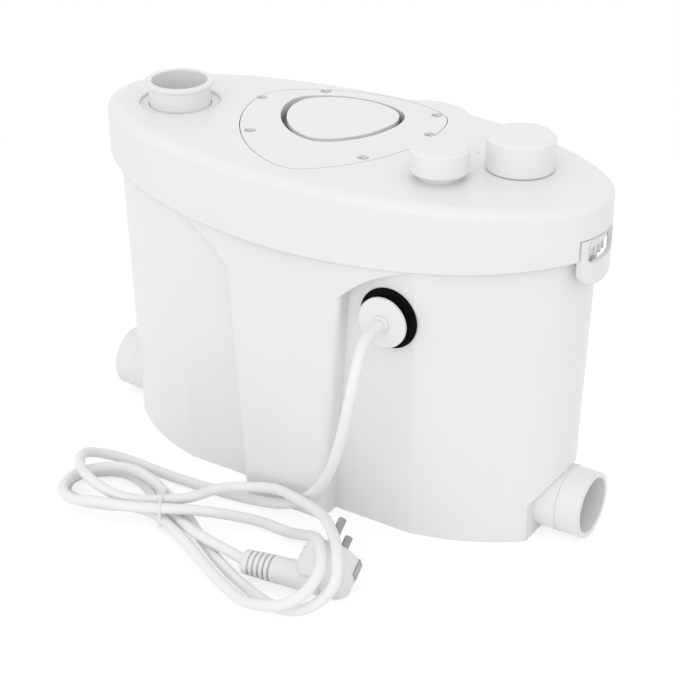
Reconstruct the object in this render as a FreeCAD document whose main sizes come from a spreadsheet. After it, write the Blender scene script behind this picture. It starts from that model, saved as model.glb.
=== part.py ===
import FreeCAD, Part
import Sketcher
import math
import os

# Sewage lifting station: an oval tank with a lift-off lid, the macerator pump inside it,
# and the supply cord tied up in front. Lengths in mm, the floor is z 0, X runs along the
# tank, the front faces -Y.

os.makedirs("parts", exist_ok=True)
doc = FreeCAD.newDocument("LiftingStation")
sheet = doc.addObject("Spreadsheet::Sheet", "Sizes")
Vec = FreeCAD.Vector


class Size:
    def __init__(self, text, value):
        self.text, self.value = text, float(value)

    def joined(self, mark, other, value, swap=False):
        left, right = (other, self) if swap else (self, other)
        return Size("(" + left.text + mark + right.text + ")", value)

    def __add__(self, other):
        other = size_of(other)
        return self.joined(" + ", other, self.value + other.value)

    def __radd__(self, other):
        return size_of(other) + self

    def __sub__(self, other):
        other = size_of(other)
        return self.joined(" - ", other, self.value - other.value)

    def __rsub__(self, other):
        return size_of(other) - self

    def __mul__(self, other):
        other = size_of(other)
        return self.joined(" * ", other, self.value * other.value)

    def __rmul__(self, other):
        return self * other

    def __truediv__(self, other):
        other = size_of(other)
        return self.joined(" / ", other, self.value / other.value)

    def __neg__(self):
        return size_of(0) - self


def size_of(entry):
    return entry if isinstance(entry, Size) else Size(repr(round(float(entry), 6)), entry)


sheet_rows = []


def measure(name, value):
    row = len(sheet_rows) + 1
    sheet_rows.append(name)
    sheet.set("A%d" % row, name.replace("_", " "))
    sheet.set("B%d" % row, str(value))
    sheet.setAlias("B%d" % row, name)
    return Size("Sizes." + name, value)


# Lid
lid_length = measure("lid_length", 332)
lid_depth = measure("lid_depth", 150.6)
lid_top = measure("lid_top", 215.8)
lid_wall = measure("lid_wall", 2.6)
lid_plate = measure("lid_plate", 3)
skirt_bottom = measure("skirt_bottom", 172.5)
skirt_sweep = measure("skirt_sweep", 1117)
hump_radius = measure("hump_radius", 31)
hump_x = measure("hump_x", 21)
hump_y = measure("hump_y", 52)
SQUARENESS = 2.06
# Tank
wall = measure("tank_wall", 3)
foot_length = measure("foot_length", 308.2)
foot_depth = measure("foot_depth", 131)
shoulder_length = measure("shoulder_length", 317.2)
shoulder_depth = measure("shoulder_depth", 144)
shoulder_top = measure("shoulder_top", 188)
rim_gap = measure("rim_gap", 0.4)
rim_top = measure("rim_top", 208.4)
rim_floor = measure("rim_floor", 190)
recess_y = measure("recess_y", 56.2)
recess_lean = measure("recess_lean", 0.03)
facet_x = measure("facet_x", 142)
facet_top = measure("facet_top", 24.5)
bulge_foot = measure("bulge_foot", 28.2)
bulge_neck = measure("bulge_neck", 40.3)
bulge_front = measure("bulge_front", 72.6)
bulge_lean = measure("bulge_lean", 0.015)
# Connections
spigot_radius = measure("spigot_radius", 20)
spigot_bore = measure("spigot_bore", 17)
spigot_mouth = measure("spigot_mouth", 170.9)
spigot_level = measure("spigot_level", 20.6)
soil_level = measure("soil_level", 112)
soil_radius = measure("soil_radius", 55)
outlet_x = measure("outlet_x", -117.1)
outlet_y = measure("outlet_y", -5.2)
outlet_bore = measure("outlet_bore", 17.05)
big_cap_x = measure("big_cap_x", 106.7)
big_cap_y = measure("big_cap_y", 11.9)
big_neck = measure("big_neck", 16)
small_cap_x = measure("small_cap_x", 75.1)
small_cap_y = measure("small_cap_y", -23.6)
small_neck = measure("small_neck", 12)
cap_play = measure("cap_play", 0.4)
# Pump and its drive
pump_x = measure("pump_x", -14)
motor_radius = measure("motor_radius", 44)
motor_base = measure("motor_base", 62)
motor_top = measure("motor_top", 150)
shaft_radius = measure("shaft_radius", 5.95)
shaft_play = measure("shaft_play", 0.05)
casing_base = measure("casing_base", 40)
pipe_radius = measure("pipe_radius", 14)
pipe_bore = measure("pipe_bore", 11.5)
pipe_level = measure("pipe_level", 51)
box_base = measure("box_base", 153)
box_top = measure("box_top", 190)
dip_x = measure("dip_x", 60)
dip_y = measure("dip_y", 8)
# Cord entry
gland_x = measure("gland_x", 66.5)
gland_level = measure("gland_level", 142)
cord_radius = measure("cord_radius", 3.2)
doc.recompute()

half_length = lid_length / 2
half_depth = lid_depth / 2
pieces = {}


def drive(thing, **sizes):
    for name, entry in sizes.items():
        thing.setExpression(name.replace("__", "."), size_of(entry).text)
    return thing


QUARTER = {"x": ((0, 1, 0), 90), "y": ((1, 0, 0), -90), "-y": ((1, 0, 0), 90), "-x": ((0, 1, 0), -90)}


def place(thing, at, axis="z"):
    if axis in QUARTER:
        about, angle = QUARTER[axis]
        thing.Placement = FreeCAD.Placement(Vec(0, 0, 0), FreeCAD.Rotation(Vec(*about), angle))
    for letter, entry in zip("xyz", at):
        thing.setExpression("Placement.Base." + letter, size_of(entry).text)
    return thing


def rod(name, radius, length, at, axis="z"):
    thing = doc.addObject("Part::Cylinder", name)
    return place(drive(thing, Radius=radius, Height=length), at, axis)


def block(name, x_span, y_span, z_span):
    thing = doc.addObject("Part::Box", name)
    spans = [[size_of(entry) for entry in span] for span in (x_span, y_span, z_span)]
    lengths = [span[1] - span[0] for span in spans]
    drive(thing, Length=lengths[0], Width=lengths[1], Height=lengths[2])
    return place(thing, [span[0] for span in spans])


def fused(name, *shapes):
    thing = doc.addObject("Part::MultiFuse", name)
    thing.Shapes = list(shapes)
    return thing


def cut(name, base, *tools):
    thing = doc.addObject("Part::Cut", name)
    thing.Base = base
    thing.Tool = tools[0] if len(tools) == 1 else fused(name + "_tools", *tools)
    return thing


def shared(name, *shapes):
    thing = doc.addObject("Part::MultiCommon", name)
    thing.Shapes = list(shapes)
    return thing


def draw(sketch, outline):
    # An outline is a list of (u, v) corners. A corner may carry a radius as third entry:
    # the edge that leaves it is then an arc of that radius, turning left when positive.
    corners = [[size_of(entry) for entry in corner] for corner in outline]
    ends = []
    for index, corner in enumerate(corners):
        after = corners[(index + 1) % len(corners)]
        start, stop = Vec(corner[0].value, corner[1].value), Vec(after[0].value, after[1].value)
        if len(corner) == 2:
            sketch.addGeometry(Part.LineSegment(start, stop), False)
            ends.append((1, 2))
            continue
        radius, half = abs(corner[2].value), (stop - start) * 0.5
        left = Vec(-half.y, half.x).normalize()
        turn = 1 if corner[2].value > 0 else -1
        centre = start + half + left * (turn * math.sqrt(max(radius ** 2 - half.Length ** 2, 0)))
        angles = [math.atan2(point.y - centre.y, point.x - centre.x) for point in (start, stop)]
        if turn < 0:
            angles.reverse()
        if angles[1] < angles[0]:
            angles[1] += 2 * math.pi
        circle = Part.Circle(centre, Vec(0, 0, 1), radius)
        sketch.addGeometry(Part.ArcOfCircle(circle, angles[0], angles[1]), False)
        ends.append((1, 2) if turn > 0 else (2, 1))
    count = len(corners)
    for index, corner in enumerate(corners):
        following = (index + 1) % count
        sketch.addConstraint(Sketcher.Constraint(
            "Coincident", index, ends[index][1], following, ends[following][0]))
        for kind, entry in (("DistanceX", corner[0]), ("DistanceY", corner[1])):
            number = sketch.addConstraint(Sketcher.Constraint(
                kind, -1, 1, index, ends[index][0], entry.value))
            if "Sizes" in entry.text:
                sketch.setExpression("Constraints[%d]" % number, entry.text)
        if len(corner) == 3:
            sketch.addConstraint(Sketcher.Constraint("Radius", index, abs(corner[2].value)))


TURN = {"xy": ((0, 0, 1), 0), "xz": ((1, 0, 0), 90), "yz": ((1, 1, 1), 120)}
LIFT = {"xy": (0, 0, 1), "xz": (0, 1, 0), "yz": (1, 0, 0)}


def prism(name, plane, outline, start, stop):
    # Flat outline in one plane, drawn out along the third axis from start to stop.
    sketch = doc.addObject("Sketcher::SketchObject", name + "_outline")
    about, angle = TURN[plane]
    sketch.Placement = FreeCAD.Placement(Vec(0, 0, 0), FreeCAD.Rotation(Vec(*about), angle))
    draw(sketch, outline)
    letter = {"xy": "z", "xz": "y", "yz": "x"}[plane]
    sketch.setExpression("Placement.Base." + letter, size_of(start).text)
    thing = doc.addObject("Part::Extrusion", name)
    thing.Base = sketch
    thing.DirMode = "Custom"
    thing.Dir = Vec(*LIFT[plane])
    thing.Solid = True
    return drive(thing, LengthFwd=size_of(stop) - size_of(start))


def plane_of(body, role):
    return [item for item in body.Origin.OriginFeatures if item.Role == role][0]


def turned(name, profile, at=(0, 0, 0), axis="z"):
    # Profile of (radius, height) corners, turned about its own axis.
    body = doc.addObject("PartDesign::Body", name)
    sketch = body.newObject("Sketcher::SketchObject", name + "_profile")
    sketch.AttachmentSupport = [(plane_of(body, "XZ_Plane"), "")]
    sketch.MapMode = "FlatFace"
    draw(sketch, profile)
    turn = body.newObject("PartDesign::Revolution", name + "_turn")
    turn.Profile = sketch
    turn.ReferenceAxis = (sketch, ["V_Axis"])
    turn.Angle = 360
    sketch.Visibility = False
    return place(body, at, axis)


def ring(name, outer, inner, length, at, axis="z"):
    return turned(name, [(inner, 0), (outer, 0), (outer, length), (inner, length)], at, axis)


def closed_edge(name, points, level):
    curve = Part.BSplineCurve()
    curve.interpolate(Points=points, PeriodicFlag=True)
    edge = doc.addObject("Part::Feature", name + "_edge")
    edge.Shape = Part.Wire(curve.toShape())
    return place(edge, (0, 0, level))


def oval_edge(name, length, depth, level):
    # Slightly squarer than an ellipse, as eight arcs that run on smoothly: one for each end,
    # the front and the rear, and one at each corner from (px, py) to (jx, jy).
    a, b = size_of(length).value / 2, size_of(depth).value / 2
    turn, share = 0.425, 1.5
    swell = (math.cos(turn) ** SQUARENESS + math.sin(turn) ** SQUARENESS) ** (-1 / SQUARENESS)
    px, py = a * swell * math.cos(turn), b * swell * math.sin(turn)
    centre = (a * a - px * px - py * py) / (2 * (a - px))
    way = Vec(-py, px - centre, 0).normalize()
    # The tangents of the corner arc and of the rear arc are as 1 to share.
    bend = -2 * share * (1 + way.x)
    slope = 2 * (px * (way.x - share) - (b - py) * way.y)
    reach = (-slope - math.sqrt(slope * slope - 4 * bend * (px * px + (b - py) ** 2))) / (2 * bend)
    jx = ((px + reach * way.x) * share + reach * share) / (1 + share)
    jy = ((py + reach * way.y) * share + b) / (1 + share)
    chord, inward = Vec(jx - px, jy - py, 0), Vec(-way.y, way.x, 0)
    middle = Vec(px, py, 0) + inward * (chord.dot(chord) / (2 * chord.dot(inward)))
    spoke = Vec((px + jx) / 2, (py + jy) / 2, 0) - middle
    mid = middle + spoke.normalize() * (Vec(px, py, 0) - middle).Length
    corners = [((px, py), (mid.x, mid.y), (jx, jy)), ((jx, jy), (0, b), (-jx, jy))]
    corners += [((-jx, jy), (-mid.x, mid.y), (-px, py)), ((-px, py), (-a, 0), (-px, -py))]
    corners += [[(-x, -y) for x, y in arc] for arc in corners]
    arcs = [Part.Arc(*[Vec(x, y, 0) for x, y in arc]).toShape() for arc in corners]
    edge = doc.addObject("Part::Feature", name + "_edge")
    edge.Shape = Part.Wire(arcs)
    return place(edge, (0, 0, level))


def drawn_up(name, edge, rise):
    thing = doc.addObject("Part::Extrusion", name)
    thing.Base = edge
    thing.DirMode = "Custom"
    thing.Dir = Vec(0, 0, 1)
    thing.Solid = True
    return drive(thing, LengthFwd=rise)


def oval(name, length, depth, start, stop):
    return drawn_up(name, oval_edge(name, length, depth, start), size_of(stop) - size_of(start))


def edges_where(thing, test):
    return [index + 1 for index, edge in enumerate(thing.Shape.Edges) if test(edge)]


def rounded(name, base, radius, test):
    doc.recompute([base])
    thing = doc.addObject("Part::Fillet", name)
    thing.Base = base
    thing.Edges = [(index, radius, radius) for index in edges_where(base, test)]
    return thing


def hand_in(name, thing):
    thing.Label = name
    pieces[name] = thing
    return thing


# Tank. The tub is a drawn-out oval; a flat recess crosses its front, a bulge stands in the
# recess and spreads into the rim, and each end carries a flat facet with a side inlet.
def tub(name, inset, floor):
    feet = []
    for level, length, depth in ((floor, foot_length, foot_depth),
                                 (shoulder_top, shoulder_length, shoulder_depth)):
        spare = 2 * size_of(inset)
        feet.append(oval_edge(name + "_foot", length - spare, depth - spare, level))
    form = doc.addObject("Part::Loft", name)
    form.Sections = feet
    form.Solid = True
    form.Ruled = True
    top = size_of(260)
    recess = prism(name + "_recess", "yz", [
        (-(recess_y - inset), -5), (-(recess_y - inset) - recess_lean * top, top),
        (-150, top), (-150, -5)], -200, 200)
    tools = [recess]
    for side in (-1, 1):
        near, far = (facet_x - inset) * side, size_of(190 * side)
        outline = [(near, -5), (far, -5), (far, facet_top + 66), (near, facet_top)]
        if side < 0:
            outline.reverse()
        tools.append(prism(name + "_facet", "xz", outline, -90, 90))
    return cut(name + "_faced", form, *tools)


def bulge(name, inset, floor, top, soft=0):
    neck_level, flare_level = 152, 172.5
    half = [(bulge_foot - inset, floor), (30.3 - size_of(inset), 40),
            (bulge_neck - inset, neck_level + inset * 0.4, -76),
            (77 - inset * 0.6, flare_level + inset), (110, 183 + inset), (114, top)]
    mirror = [(-size_of(corner[0]), corner[1]) for corner in reversed(half)]
    mirror[2] = mirror[2] + (-76,)
    form = prism(name, "xz", half + mirror, -100, -45)
    high = size_of(260)
    front = bulge_front - inset
    ahead = prism(name + "_front", "yz", [
        (-front, -5), (-front + bulge_lean * high, high), (-120, high), (-120, -5)], -200, 200)
    around = cut(name + "_around", block(name + "_field", (-180, 180), (-110, -30), (neck_level, 230)),
                 oval(name + "_bound", lid_length - 6 - 2 * inset, lid_depth - 6 - 2 * inset, 140, 240))
    faced = cut(name + "_faced", form, ahead)
    if soft:
        faced = rounded(name + "_soft", faced, soft, lambda edge: (
            edge.BoundBox.YMax < -66 and edge.BoundBox.ZMax > 10 and edge.BoundBox.ZMax < 160
            and abs(edge.tangentAt(edge.FirstParameter).z) > 0.5))
    return cut(name + "_shaped", faced, around)


def rim(name, inset, start, stop):
    return oval(name, lid_length - 2 * (lid_wall + rim_gap) - 2 * inset,
                lid_depth - 2 * (lid_wall + rim_gap) - 2 * inset, start, stop)


# Each side inlet: end, direction, place across the tank and axis. A sleeve seats on the last
# 15 mm of its spigot, up to a low shoulder.
SPIGOTS = (("right", 1, 0, "x"), ("left", -1, 0.8, "-x"))
front_bulge = bulge("bulge", 0, 0, shoulder_top, 4)
tank_form = fused(
    "tank_form", tub("tub", 0, 0), front_bulge, rim("rim", 0, shoulder_top, rim_top),
    rod("boss", hump_radius - 3, rim_top - soil_level, (hump_x, hump_y, soil_level)),
    rod("soil_stub", soil_radius, 52, (hump_x, 40, soil_level), "y"),
    *[rod("spigot_" + end, radius, reach - 136, (136 * side, y, spigot_level), axis)
      for end, side, y, axis in SPIGOTS
      for radius, reach in ((spigot_radius, spigot_mouth), (spigot_radius + 0.4, spigot_mouth - 15))])
bores = [
    rod("boss_inside", hump_radius - 6, 100, (hump_x, hump_y, soil_level + 3)),
    rod("soil_bore", soil_radius - wall, 70, (hump_x, 30, soil_level), "y"),
    rod("cord_hole", 12, 12, (gland_x, -66, gland_level), "y")]
for end, side, y, axis in SPIGOTS:
    bores.append(rod("seat_bore", 14.5, 20, (132 * side, 0, spigot_level), axis))
    bores.append(rod("side_bore", spigot_bore, 40, ((facet_x + 0.5) * side, y, spigot_level), axis))
# The hollows come out one after another, from the floor up.
shell = tank_form
for name, form in (
        ("without_tub", tub("tub_inside", wall, wall)),
        ("without_bulge", bulge("bulge_inside", wall, wall, rim_floor)),
        ("without_rim", rim("rim_inside", wall, rim_floor, rim_top + 10)),
        ("without_neck", oval("neck_inside", shoulder_length - 2 * wall, shoulder_depth - 2 * wall,
                              shoulder_top, rim_floor))):
    shell = cut(name, shell, form)
shell = cut("tank_shell", shell, *bores)
# Hinge lugs for the side inlet flaps inside, and the ribbed catches for the latches outside.
extras, hinge_holes, plates, ribs = [], [], [], []
for side in (-1, 1):
    for y_side in (-1, 1):
        x_span, y_span = sorted((136 * side, 152 * side)), sorted((8 * y_side, 11 * y_side))
        extras.append(block("lug", x_span, y_span, (38, 45)))
    hinge_holes.append(rod("lug_hole", 1.6, 24, (137.5 * side, -12, 41.6), "y"))
    x_span = sorted((154 * side, 172 * side))
    plates.append(block("catch_plate", x_span, (-13.5, 13.5), (182, 190)))
    ribs += [block("catch_rib", x_span, (y - 0.8, y + 0.8), (181.4, 190)) for y in (-9, -3, 3, 9)]
extras.append(shared("catches_back", fused("catch_plates", *plates), rim("catch_plate_bound", 2, 180, 192)))
extras.append(shared("catches_front", fused("catch_ribs", *ribs), rim("catch_rib_bound", 0.8, 180, 192)))
hand_in("tank", cut("tank", fused("tank_full", shell, *extras), *hinge_holes))

# Lid: a shell with a curved lower edge, necks for two capped inlets, an opening with a
# ledge for the service cover and a sunk seat for the discharge socket.
COVER = ((-15.15, 9.86), (62.4, -1.06, -0.77, -3.26, 5.23))
VENT = ((-20.4, 22.4), (37.7, 0.59, -0.89, -1.44, 2.53))
VENT_LID = ((-20.2, 23.1), (34.05, -0.19, -0.42, -0.92, 2.22))


def pebble(name, form, offset, start, stop):
    # Rounded three-cornered outline: its distance from the centre, measured square to the
    # edge, is h plus a second and a third harmonic.
    (cx, cy), (h, a2, b2, a3, b3) = form
    points = []
    for step in range(18):
        t = 2 * math.pi * step / 18
        reach = h + offset + a2 * math.cos(2 * t) + b2 * math.sin(2 * t) \
            + a3 * math.cos(3 * t) + b3 * math.sin(3 * t)
        rate = -2 * a2 * math.sin(2 * t) + 2 * b2 * math.cos(2 * t) \
            - 3 * a3 * math.sin(3 * t) + 3 * b3 * math.cos(3 * t)
        points.append(Vec(cx + reach * math.cos(t) - rate * math.sin(t),
                          cy + reach * math.sin(t) + rate * math.cos(t), 0))
    return drawn_up(name, closed_edge(name, points, start), size_of(stop) - size_of(start))


plate_under = lid_top - lid_plate
lid_block = fused("lid_block", oval("lid_oval", lid_length, lid_depth, 165, lid_top),
                  rod("hump", hump_radius, lid_top - 165, (hump_x, hump_y, 165)))
lid_soft = rounded("lid_soft", lid_block, 8, lambda edge: (
    abs(edge.tangentAt(edge.FirstParameter).z) > 0.9 and edge.BoundBox.YMin > 60))
lid_edged = rounded("lid_edged", lid_soft, 6, lambda edge: edge.BoundBox.ZMin > lid_top.value - 0.1)
sweep = rod("skirt_sweep", skirt_sweep, 300, (0, -150, skirt_bottom + skirt_sweep), "y")
lid_outer = shared("lid_outer", lid_edged, sweep)
lid_inner = fused("lid_inner",
                  oval("lid_inside", lid_length - 2 * lid_wall, lid_depth - 2 * lid_wall, 150, plate_under),
                  rod("hump_inside", hump_radius - lid_wall, plate_under - 150, (hump_x, hump_y, 150)))
ledge_under = plate_under - 3
rim_length = lid_length - 2 * (lid_wall + rim_gap)
rim_depth = lid_depth - 2 * (lid_wall + rim_gap)
ledge = cut("ledge", pebble("ledge_out", COVER, 5, ledge_under, plate_under),
            pebble("ledge_in", COVER, -6, ledge_under - 1, plate_under + 1))
lid_added = [
    shared("ledge_bound", ledge, oval("ledge_field", rim_length - 8, rim_depth - 8, 200, 220)),
    rod("big_neck", big_neck, 29, (big_cap_x, big_cap_y, 197)),
    rod("small_neck", small_neck, 28, (small_cap_x, small_cap_y, 200)),
    rod("socket_boss", 27, 3, (outlet_x, outlet_y, ledge_under))]
SCREWS = ((-78, 25.8), (-52.4, -23.2), (25.6, -23.5), (39.8, 27.3), (27.5, 56.9), (-50.8, 55.8))
lid_cuts = [
    pebble("cover_opening", COVER, 0.5, plate_under, lid_top + 1),
    rod("big_throat", big_neck - 2, 45, (big_cap_x, big_cap_y, 190)),
    rod("small_throat", small_neck - 2, 45, (small_cap_x, small_cap_y, 190)),
    rod("socket_seat", 24.7, 5, (outlet_x, outlet_y, lid_top - 1.5)),
    rod("socket_hole", 19.2, 20, (outlet_x, outlet_y, 200)),
    rod("vent_hole_pin", 0.8, 3, (76.9, 17.3, lid_top - 1))]
for side in (-1, 1):
    lid_cuts.append(block("latch_gap", sorted((148 * side, 172 * side)), (-20.6, 20.6), (150, 196)))
lid_cuts += [rod("screw_pocket", 3.4, 4, (x, y, lid_top - 2.2)) for x, y in SCREWS]
lid_cuts += [rod("screw_way", 1.7, 12, (x, y, 205)) for x, y in SCREWS]
lid_hollow = cut("lid_hollow", lid_outer, lid_inner)
hand_in("lid", cut("lid", fused("lid_full", lid_hollow, *lid_added), *lid_cuts))

# Service cover with the vent cup that hangs under it.
cup = cut("cup", pebble("cup_out", VENT, 2, 199, plate_under + 0.5),
          pebble("cup_in", VENT, 0, 201, lid_top))
cover_cuts = [pebble("cup_mouth", VENT, 0, 205, lid_top + 1)]
cover_cuts += [rod("cover_pocket", 3.4, 4, (x, y, lid_top - 2.2)) for x, y in SCREWS]
cover_cuts += [rod("cover_way", 1.7, 12, (x, y, 205)) for x, y in SCREWS]
cover_cuts += [block("cup_slot", (x - 2, x + 2), (6, 38), (195, 204)) for x in (-38, -26, -14, -2)]
cover_plate = pebble("cover_plate", COVER, 0, plate_under, lid_top)
hand_in("service_cover", cut("service_cover", fused("cover_full", cover_plate, cup), *cover_cuts))
screws = []
for x, y in SCREWS:
    head = turned("screw", [(0, 206), (1.6, 206), (1.6, 213.6), (3.1, 213.6), (3.1, 214.5),
                            (2.2, 214.9), (0, 214.9)], (x, y, 0))
    screws.append(cut("screw_cut", head, block("screw_slot", (x - 2.2, x + 2.2), (y - 0.4, y + 0.4),
                                               (214.2, 217))))
hand_in("service_cover_screws", fused("service_cover_screws", *screws))
hand_in("charcoal_filter", pebble("charcoal_filter", VENT, -1.5, 201, 209))
feet = [rod("vent_foot", 2.5, 4, (-20.2 + 24 * math.cos(t), 23.1 + 24 * math.sin(t), 209.4))
        for t in (0.3, 2.4, 4.5)]
hand_in("vent_lid", fused("vent_lid", pebble("vent_plate", VENT_LID, 0, 213, lid_top), *feet))

hand_in("lid_gasket", cut("lid_gasket",
                          oval("gasket_out", rim_length, rim_depth, rim_top + rim_gap, plate_under),
                          oval("gasket_in", rim_length - 7, rim_depth - 7, rim_top - 1, plate_under + 1)))

# Latch tongues: the part of the skirt between two slits, with a window over the catch.
for name, side in (("latch_right", 1), ("latch_left", -1)):
    band = cut(name + "_band", oval(name + "_out", lid_length, lid_depth, 160, 196),
               oval(name + "_in", lid_length - 2 * lid_wall, lid_depth - 2 * lid_wall, 159, 197))
    tongue = [(-19.4, 195.5), (-19.4, 177, 9), (-10.4, 168, 60), (10.4, 168, 9), (19.4, 177), (19.4, 195.5)]
    window = [(-14.8, 190.6), (-14.8, 185, 4), (-10.8, 181), (10.8, 181, 4), (14.8, 185),
              (14.8, 190.6, 4), (10.8, 194.6), (-10.8, 194.6, 4)]
    sides = sorted((140 * side, 175 * side))
    tab = shared(name + "_tab", band, prism(name + "_form", "yz", tongue, *sides))
    hand_in(name, cut(name, tab, prism(name + "_window", "yz", window, *sides)))

# Connections on the lid.
hand_in("discharge_socket", turned("discharge_socket", [
    (outlet_bore, 229), (outlet_bore, 209), (12.5, 205), (12.5, 192), (15, 192), (15, 204),
    (22, 207), (22, ledge_under), (18.8, ledge_under), (18.8, 227), (21.1, 227), (21.1, 228.4),
    (20.5, 229)], (outlet_x, outlet_y, 0)))
hand_in("big_inlet_cap", turned("big_inlet_cap", [
    (big_neck + cap_play, 216.3), (19.5, 216.3), (19.5, 233.4), (17.5, 235.4), (0, 235.4),
    (0, 232.6), (big_neck - 2.4, 232.6), (big_neck - 2.4, 226.4), (big_neck + cap_play, 226.4)],
    (big_cap_x, big_cap_y, 0)))
hand_in("small_inlet_cap", turned("small_inlet_cap", [
    (small_neck + cap_play, 219.9), (16.5, 219.9), (16.5, 231.7), (14.7, 233.5), (0, 233.5),
    (0, 231), (small_neck - 2.4, 231), (small_neck - 2.4, 228.4), (small_neck + cap_play, 228.4)],
    (small_cap_x, small_cap_y, 0)))

# Rear inlet sleeve for the pan, and the cord entry in the recess.
hand_in("wc_inlet_sleeve", turned("wc_inlet_sleeve", [
    (soil_radius, 1.6), (59, 1.6), (60, 3.8), (59, 6), (59, 24), (57, 26), (51, 26), (51, 16),
    (53, 13), (soil_radius, 13)], (hump_x, 79, soil_level), "y"))
gland_seat = -55
hand_in("cable_grommet", turned("cable_grommet", [
    (9, 0), (12, 0), (12, 6.1), (18.2, 6.1), (18.2, 6.8), (17.8, 7.2), (9, 7.2)],
    (gland_x, gland_seat, gland_level), "-y"))
hand_in("cable_gland", turned("cable_gland", [
    (0, 0), (9, 0), (9, 12.2), (15.1, 12.2), (15.1, 13.8), (14.7, 14.2), (4.8, 14.2), (4.8, 16),
    (4.3, 16.5), (0, 16.5)], (gland_x, gland_seat, gland_level), "-y"))

# Motor: shell, end cap, wound stator, rotor on its shaft, bearings and seal.
motor = (pump_x, 0, 0)
hand_in("motor_housing", turned("motor_housing", [
    (9, motor_base), (motor_radius, motor_base), (motor_radius, motor_top),
    (motor_radius - 2.5, motor_top), (motor_radius - 2.5, motor_base + 3), (16, motor_base + 3),
    (16, motor_base + 11), (13, motor_base + 11), (13, motor_base + 4), (9, motor_base + 4)], motor))
hand_in("motor_end_cap", turned("motor_end_cap", [
    (0, motor_top - 2), (11, motor_top - 2), (11, motor_top - 10), (14, motor_top - 10),
    (14, motor_top), (motor_radius, motor_top), (motor_radius, box_base), (0, box_base)], motor))
hand_in("stator", ring("stator", motor_radius - 2.5, 23, 50, (pump_x, 0, 80)))
shaft_end = turned("shaft_form", [(0, 24), (shaft_radius, 24), (shaft_radius, 147.5), (0, 147.5)], motor)
hand_in("rotor_shaft", shaft_end)
hand_in("rotor_core", ring("rotor_core", 22, shaft_radius, 44, (pump_x, 0, 83)))
hand_in("lower_bearing", ring("lower_bearing", 13, shaft_radius + shaft_play, 7,
                              (pump_x, 0, motor_base + 4)))
hand_in("upper_bearing", ring("upper_bearing", 11, shaft_radius + shaft_play, 7,
                              (pump_x, 0, motor_top - 9.5)))
hand_in("shaft_seal", ring("shaft_seal", 9, shaft_radius + shaft_play, 4, (pump_x, 0, motor_base)))

# Pump: casing with its outlet, impeller, cutter and the slotted basket.
stub_start = pump_x - 52
casing = fused("casing_form", turned("casing_turn", [
    (16, casing_base), (42, casing_base), (42, motor_base), (9, motor_base), (9, 59), (39.5, 59),
    (39.5, casing_base + 3), (16, casing_base + 3)], motor),
    cut("stub", rod("stub_form", 16.5, 15, (stub_start, outlet_y, pipe_level), "x"),
        rod("stub_clear", 39.5, 30, (pump_x, 0, 36)), rod("stub_under", 44.4, 20, (pump_x, 0, 20)),
        rod("stub_over", 44.4, 20, (pump_x, 0, motor_base))))
hand_in("pump_casing", cut("pump_casing", casing,
                           rod("stub_seat", pipe_radius, 10, (stub_start - 1, outlet_y, pipe_level), "x"),
                           cut("stub_way", rod("stub_way_form", pipe_bore, 24,
                                               (stub_start, outlet_y, pipe_level), "x"),
                               rod("stub_way_end", 30, 40, (pump_x, 0, 30)))))
vane = prism("vane", "xy", [(8, -1.2), (20, 0.6, -40), (33, 9), (32, 11.6, 42), (19, 3.4), (8, 1.2)], 46, 55.5)
vanes = []
for turn in range(6):
    copy = doc.addObject("Part::Compound", "vane_turn")
    copy.Links = [vane]
    copy.Placement = FreeCAD.Placement(Vec(pump_x.value, 0, 0), FreeCAD.Rotation(Vec(0, 0, 1), turn * 60))
    copy.setExpression("Placement.Base.x", pump_x.text)
    vanes.append(copy)
wheel = turned("wheel", [(shaft_radius, 45), (10, 45), (10, 55), (36, 55), (36, 57), (shaft_radius, 57)], motor)
hand_in("impeller", fused("impeller", wheel, *vanes))
arm = prism("arm", "xy", [(-28, -3), (-8, -6), (8, -4), (28, 1), (28, 3), (8, 6), (-8, 4), (-28, -1)], 30, 33)
place(arm, (pump_x, 0, 0))
hub = rod("blade_hub", 8.5, 9, (pump_x, 0, 30))
hand_in("cutter_blade", cut("cutter_blade", fused("blade_form", arm, hub),
                            rod("blade_bore", shaft_radius, 20, (pump_x, 0, 25))))
nut = prism("nut", "xy", [(9 * math.cos(math.pi * k / 3), 9 * math.sin(math.pi * k / 3))
                          for k in range(6)], 25, 30)
place(nut, (pump_x, 0, 0))
hand_in("cutter_nut", cut("cutter_nut", nut, rod("nut_bore", shaft_radius, 10, (pump_x, 0, 22))))
basket = turned("basket_form", [(0, 6), (42, 6), (42, casing_base), (40, casing_base), (40, 8), (0, 8)], motor)
slots = []
for turn in range(12):
    slot = doc.addObject("Part::Box", "basket_slot")
    drive(slot, Length=12, Width=5, Height=22)
    spin = FreeCAD.Rotation(Vec(0, 0, 1), turn * 30 + 15)
    slot.Placement = FreeCAD.Placement(Vec(pump_x.value, 0, 12) + spin.multVec(Vec(35, -2.5, 0)), spin)
    slots.append(slot)
hand_in("basket", cut("basket", basket, block("basket_window", (-32, 4), (20, 50), (12, 34)), *slots))
hand_in("rubber_feet", fused("rubber_feet", *[
    rod("rubber_foot", 6, 3, (pump_x.value + 32 * math.cos(t), 32 * math.sin(t), 3))
    for t in (0.5, 2.6, 4.7)]))

# Discharge: pipe with its bend, non-return valve, riser and the rubber sleeve for the socket.
bend = 25


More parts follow.
